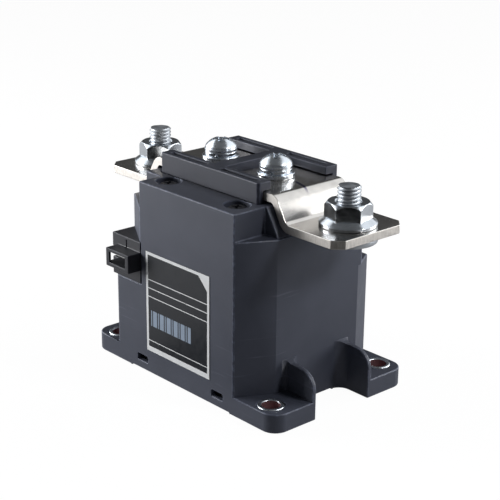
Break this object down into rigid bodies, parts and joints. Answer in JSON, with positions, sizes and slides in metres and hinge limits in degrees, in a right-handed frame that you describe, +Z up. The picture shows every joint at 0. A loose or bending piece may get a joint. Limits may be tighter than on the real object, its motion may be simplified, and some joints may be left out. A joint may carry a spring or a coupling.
{
  "type": "high voltage dc contactor",
  "caption": "Sealed dc power contactor in a dark moulded case with feet, joggled busbar terminals on threaded studs, a corner coil connector and a coil driven contact bridge inside.",
  "frame": {"origin": "centre of the foot bolt pattern, on the plane the feet stand on", "axes": "+X along the label face and through both terminals, -Y out of the label face, +Z up towards the terminals"},
  "size_m": [0.1208, 0.069, 0.0832],
  "materials": {
    "case_plastic": "fine grained moulded, dark blue grey",
    "block_plastic": "fine grained moulded, near black",
    "base_plastic": "moulded, black",
    "connector_plastic": "moulded, black",
    "pin_tin": "tin plated",
    "lead_insulation": "red insulation",
    "label_film": "printed film, bare",
    "busbar_plate": "nickel plated copper, brushed",
    "zinc_plate": "bright zinc plated",
    "bush_steel": "bright plated",
    "black_steel": "black oxide",
    "copper": "bare copper",
    "ceramic": "alumina, unglazed",
    "flange_alloy": "nickel iron alloy",
    "magnet": "sintered, plated",
    "soft_iron": "zinc plated soft iron",
    "spring_steel": "spring wire",
    "rubber": "matt",
    "bobbin_plastic": "moulded, natural",
    "winding": "enamelled copper wire"
  },
  "bodies": {
    "case": {"housing": "case_plastic", "terminal_block": "block_plastic", "base_plate": "base_plastic", "coil_connector": "connector_plastic", "connector_pins": "pin_tin", "coil_leads": "lead_insulation", "rating_label": "label_film", "busbar_left": "busbar_plate", "busbar_right": "busbar_plate", "terminal_stud_left": "zinc_plate", "terminal_stud_right": "zinc_plate", "flange_nuts": "zinc_plate", "terminal_screws": "zinc_plate", "terminal_spring_washers": "zinc_plate", "terminal_flat_washers": "zinc_plate", "mounting_bushes": "bush_steel", "housing_screws": "black_steel", "fixed_contact_left": "copper", "fixed_contact_right": "copper", "arc_chamber": "ceramic", "chamber_flange": "flange_alloy", "blowout_magnets": "magnet", "magnet_yoke": "soft_iron", "return_spring": "spring_steel", "fixed_core": "soft_iron", "plunger_sleeve": "flange_alloy", "damper_pad": "rubber", "bobbin": "bobbin_plastic", "coil_winding": "winding", "yoke_frame": "soft_iron", "yoke_plate": "soft_iron"},
    "armature": {"plunger": "soft_iron", "shaft": "flange_alloy", "spring_seat": "flange_alloy", "retaining_clip": "spring_steel", "contact_spring": "spring_steel"},
    "contact_bridge": {"moving_contact_bridge": "copper"}
  },
  "joints": [
    {"name": "armature_slide", "type": "slide", "parent": "case", "child": "armature", "axis": [0, 0, 1], "range_m": [0, 0.0025], "stiffness_N_per_m": 500, "springref_m": -0.004, "deforming": ["return_spring"]},
    {"name": "contact_slide", "type": "slide", "parent": "armature", "child": "contact_bridge", "axis": [0, 0, 1], "range_m": [-0.00072, 0], "deforming": ["contact_spring"]}
  ],
  "couplings": [
    {"joint": "contact_slide", "follows": "armature_slide", "ratio": -0.288}
  ]
}
